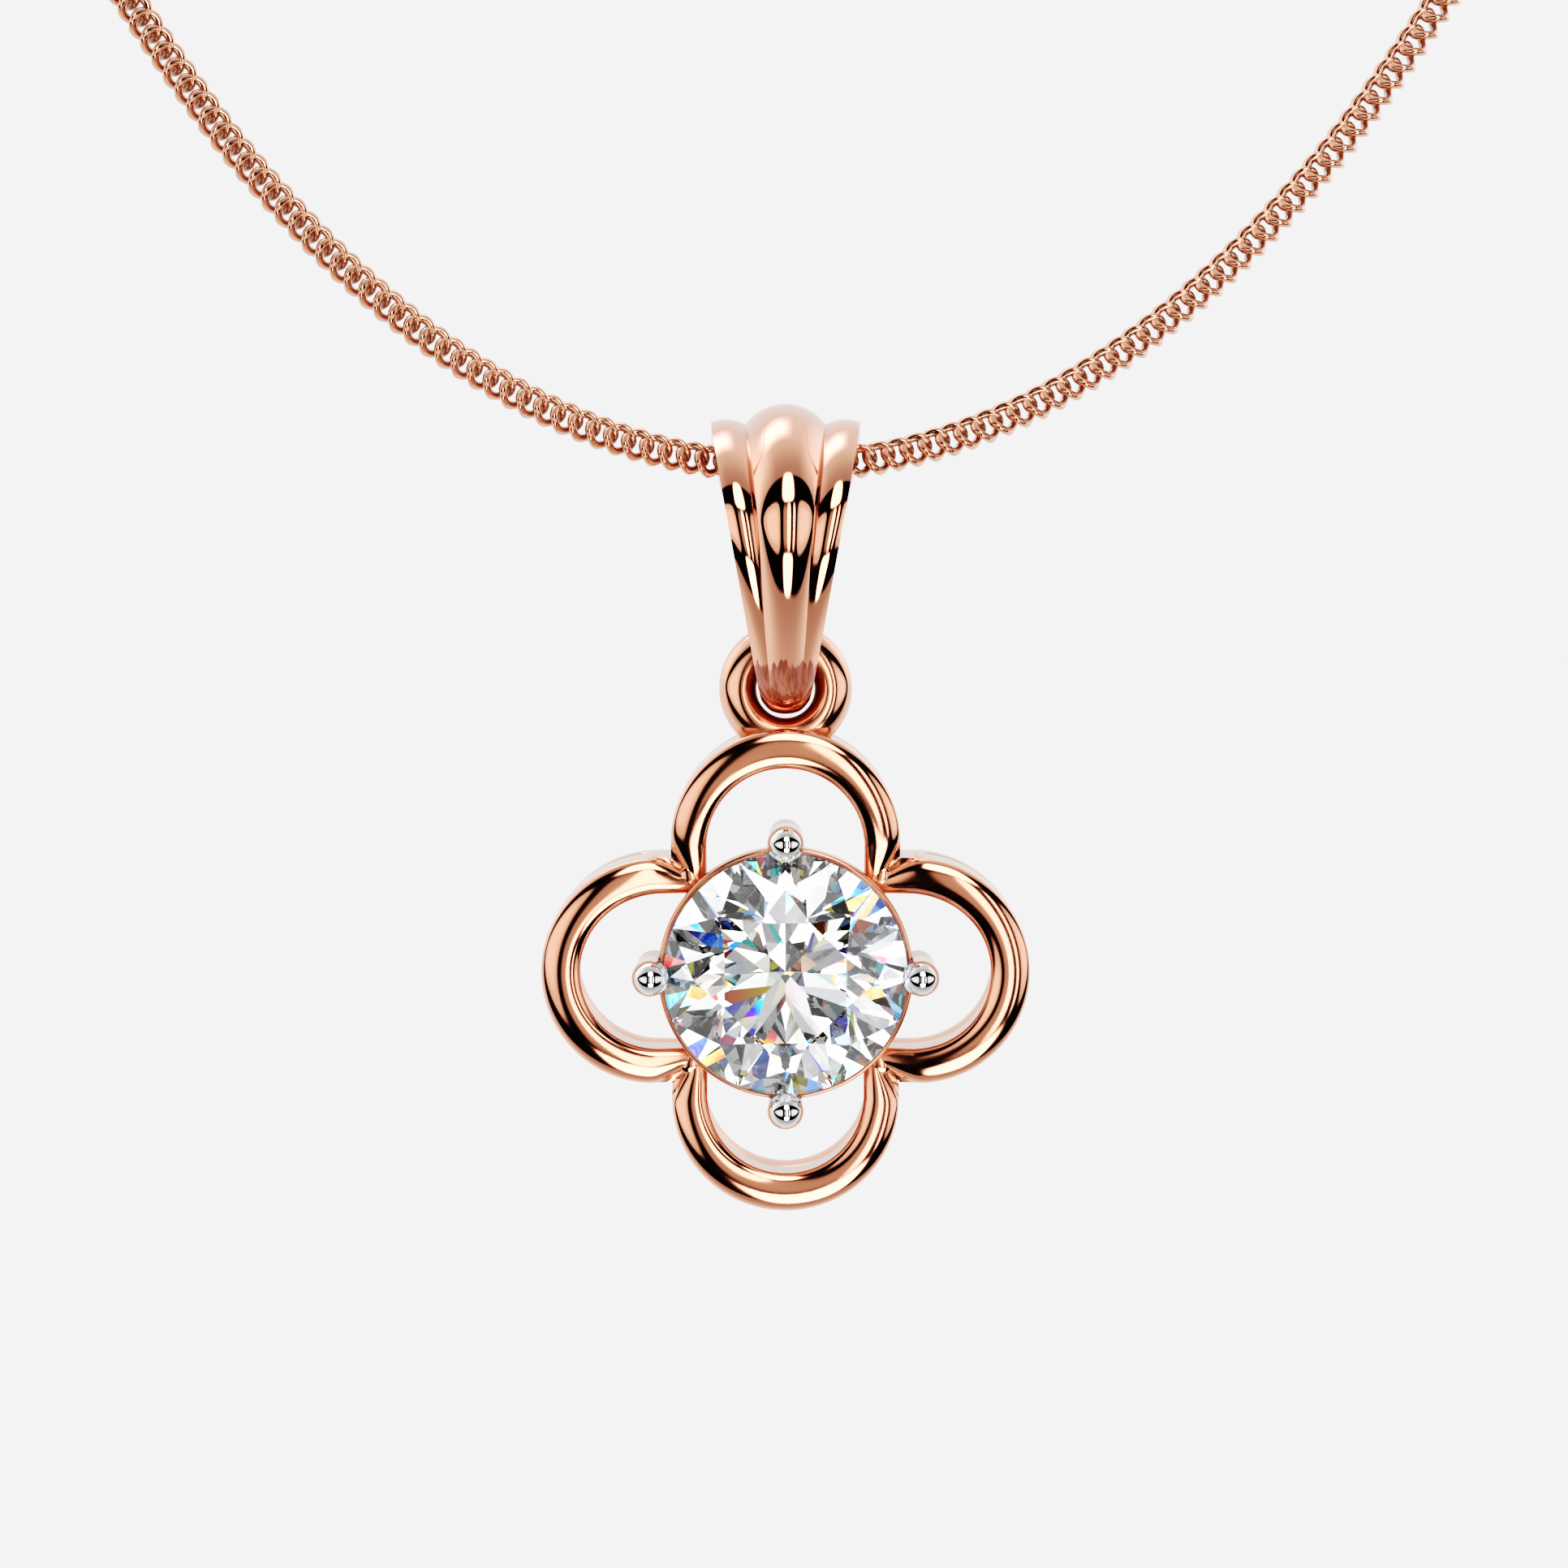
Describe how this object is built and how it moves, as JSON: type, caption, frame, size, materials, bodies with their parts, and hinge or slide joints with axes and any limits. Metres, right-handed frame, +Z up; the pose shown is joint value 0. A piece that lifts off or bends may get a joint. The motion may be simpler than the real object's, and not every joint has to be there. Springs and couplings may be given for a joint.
{
  "type": "diamond pendant necklace",
  "caption": "Four-petal clover pendant in rose gold with a claw-set round brilliant, on a fluted bail and a fine curb chain.",
  "frame": {"origin": "centre of the clasp ring, where the necklace lies on the nape", "axes": "+Z up; +X to the right seen from in front; the pendant hangs in front at -Y and faces -Y"},
  "size_m": [0.0968, 0.1019, 0.137],
  "materials": {
    "polished_rose_gold": "mirror polished",
    "chain_rose_gold": "polished curb links of round wire",
    "white_gold": "mirror polished",
    "diamond": "polished facets, colourless"
  },
  "bodies": {
    "necklace": {"chain_left": "chain_rose_gold", "chain_right": "chain_rose_gold", "clasp": "polished_rose_gold"},
    "bail": {"bail": "polished_rose_gold"},
    "pendant": {"clover_frame": "polished_rose_gold", "prong_top": "white_gold", "prong_right": "white_gold", "prong_bottom": "white_gold", "prong_left": "white_gold", "diamond": "diamond"}
  },
  "joints": [
    {"name": "bail_swing", "type": "hinge", "parent": "necklace", "child": "bail", "pos_m": [0, -0.098, -0.115], "axis": [1, 0, 0], "range_deg": [-80, 80]},
    {"name": "pendant_swing", "type": "hinge", "parent": "bail", "child": "pendant", "pos_m": [0, -0.098, -0.11954], "axis": [1, 0, 0], "range_deg": [-36, 36]}
  ]
}
